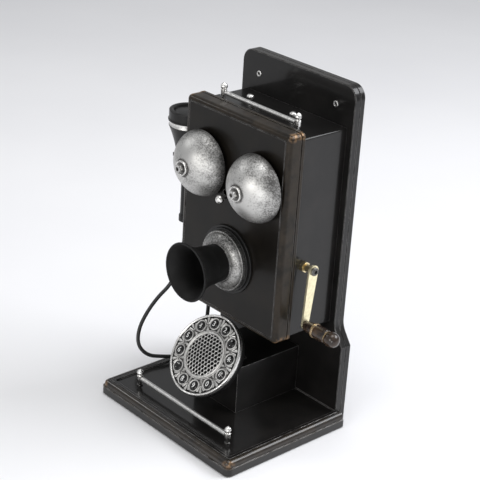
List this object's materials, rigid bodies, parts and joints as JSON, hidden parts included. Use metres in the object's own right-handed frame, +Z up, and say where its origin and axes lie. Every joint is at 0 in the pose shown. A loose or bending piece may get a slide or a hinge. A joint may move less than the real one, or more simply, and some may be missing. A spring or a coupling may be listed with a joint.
{
  "type": "corded_phone",
  "caption": "Antique-style wall or table telephone: moulded backboard and base, two bell gongs, horn mouthpiece, side crank, hook-hung receiver on a cord, angled round push-button dial",
  "frame": {"origin": "centre of the underside of the base, below the front face of the backboard; at the mount table_face", "axes": "+Z up; -Y is the front, with the horn and the dial; +X to the side of the crank, -X to the side of the receiver"},
  "size_m": [0.2497, 0.1656, 0.3539],
  "materials": {
    "painted_wood": "satin",
    "felt": "matte",
    "brass": "satin",
    "antique_silver": "aged",
    "bright_silver": "polished",
    "steel": "satin",
    "hook_metal": "satin",
    "black_plastic": "satin",
    "grip_bronze": "gloss",
    "key_plastic": "gloss",
    "board_green": "matte",
    "cord_rubber": "matte"
  },
  "bodies": {
    "root": {"base": "painted_wood", "backboard_front": "painted_wood", "backboard_rear": "painted_wood", "housing": "painted_wood", "front_cover": "painted_wood", "dial_block": "painted_wood", "base_felt": "felt", "eyelets": "brass", "crank_bushing": "brass", "gong_left": "antique_silver", "gong_right": "antique_silver", "gong_washers": "antique_silver", "mouthpiece_ring": "antique_silver", "dial_face": "antique_silver", "dial_medallion": "antique_silver", "rail_posts": "bright_silver", "top_rail_rod": "bright_silver", "base_rail_rod": "bright_silver", "binding_posts": "bright_silver", "gong_nuts": "steel", "gong_posts": "steel", "ringer_frame": "steel", "pivot_pins": "steel", "assembly_screws": "steel", "hook_bracket": "steel", "transmitter_base": "black_plastic", "mouthpiece": "black_plastic", "transmitter_capsule": "black_plastic", "hook_switch": "black_plastic", "line_jack": "black_plastic", "dial_housing": "black_plastic", "ringer_coils": "black_plastic", "main_board": "board_green", "dial_board": "board_green", "receiver_cord": "cord_rubber", "cord_gland": "cord_rubber"},
    "crank": {"crank_shaft": "brass", "crank_arm": "brass", "crank_screw": "steel", "crank_pin": "steel"},
    "grip": {"crank_grip": "grip_bronze"},
    "clapper": {"clapper_armature": "steel", "clapper_ball": "steel"},
    "handset": {"receiver_shell": "black_plastic", "receiver_band": "bright_silver", "ear_cap": "black_plastic", "receiver_speaker": "black_plastic"},
    "hook": {"hook_lever": "hook_metal"},
    "button_1": {"key_1": "key_plastic"},
    "button_2": {"key_2": "key_plastic"},
    "button_3": {"key_3": "key_plastic"},
    "button_4": {"key_4": "key_plastic"},
    "button_5": {"key_5": "key_plastic"},
    "button_6": {"key_6": "key_plastic"},
    "button_7": {"key_7": "key_plastic"},
    "button_8": {"key_8": "key_plastic"},
    "button_9": {"key_9": "key_plastic"},
    "button_0": {"key_0": "key_plastic"},
    "button_star": {"key_star": "key_plastic"},
    "button_hash": {"key_hash": "key_plastic"}
  },
  "joints": [
    {"name": "crank_turn", "type": "hinge", "parent": "root", "child": "crank", "pos_m": [0.0706, -0.0435, 0.182], "axis": [1, 0, 0], "continuous": true},
    {"name": "grip_turn", "type": "hinge", "parent": "crank", "child": "grip", "pos_m": [0.085, -0.04869, 0.12604], "axis": [1, 0, 0], "continuous": true},
    {"name": "clapper_swing", "type": "hinge", "parent": "root", "child": "clapper", "pos_m": [0, -0.044, 0.2375], "axis": [0, 0, 1], "range_deg": [-13.8, 13.8]},
    {"name": "receiver_lift", "type": "slide", "parent": "root", "child": "handset", "axis": [0, 0, 1], "range_m": [0, 0.05]},
    {"name": "hook_rise", "type": "hinge", "parent": "root", "child": "hook", "pos_m": [-0.052, -0.0485, 0.2445], "axis": [0, 1, 0], "range_deg": [0, 8]},
    {"name": "press_2", "type": "slide", "parent": "root", "child": "button_2", "axis": [0, 0.788, -0.6157], "range_m": [0, 0.0015], "stiffness_N_per_m": 400},
    {"name": "press_1", "type": "slide", "parent": "root", "child": "button_1", "axis": [0, 0.788, -0.6157], "range_m": [0, 0.0015], "stiffness_N_per_m": 400},
    {"name": "press_star", "type": "slide", "parent": "root", "child": "button_star", "axis": [0, 0.788, -0.6157], "range_m": [0, 0.0015], "stiffness_N_per_m": 400},
    {"name": "press_hash", "type": "slide", "parent": "root", "child": "button_hash", "axis": [0, 0.788, -0.6157], "range_m": [0, 0.0015], "stiffness_N_per_m": 400},
    {"name": "press_0", "type": "slide", "parent": "root", "child": "button_0", "axis": [0, 0.788, -0.6157], "range_m": [0, 0.0015], "stiffness_N_per_m": 400},
    {"name": "press_9", "type": "slide", "parent": "root", "child": "button_9", "axis": [0, 0.788, -0.6157], "range_m": [0, 0.0015], "stiffness_N_per_m": 400},
    {"name": "press_8", "type": "slide", "parent": "root", "child": "button_8", "axis": [0, 0.788, -0.6157], "range_m": [0, 0.0015], "stiffness_N_per_m": 400},
    {"name": "press_7", "type": "slide", "parent": "root", "child": "button_7", "axis": [0, 0.788, -0.6157], "range_m": [0, 0.0015], "stiffness_N_per_m": 400},
    {"name": "press_6", "type": "slide", "parent": "root", "child": "button_6", "axis": [0, 0.788, -0.6157], "range_m": [0, 0.0015], "stiffness_N_per_m": 400},
    {"name": "press_5", "type": "slide", "parent": "root", "child": "button_5", "axis": [0, 0.788, -0.6157], "range_m": [0, 0.0015], "stiffness_N_per_m": 400},
    {"name": "press_4", "type": "slide", "parent": "root", "child": "button_4", "axis": [0, 0.788, -0.6157], "range_m": [0, 0.0015], "stiffness_N_per_m": 400},
    {"name": "press_3", "type": "slide", "parent": "root", "child": "button_3", "axis": [0, 0.788, -0.6157], "range_m": [0, 0.0015], "stiffness_N_per_m": 400}
  ],
  "couplings": [
    {"joint": "hook_rise", "follows": "receiver_lift", "rad_per_m": 2.79}
  ]
}
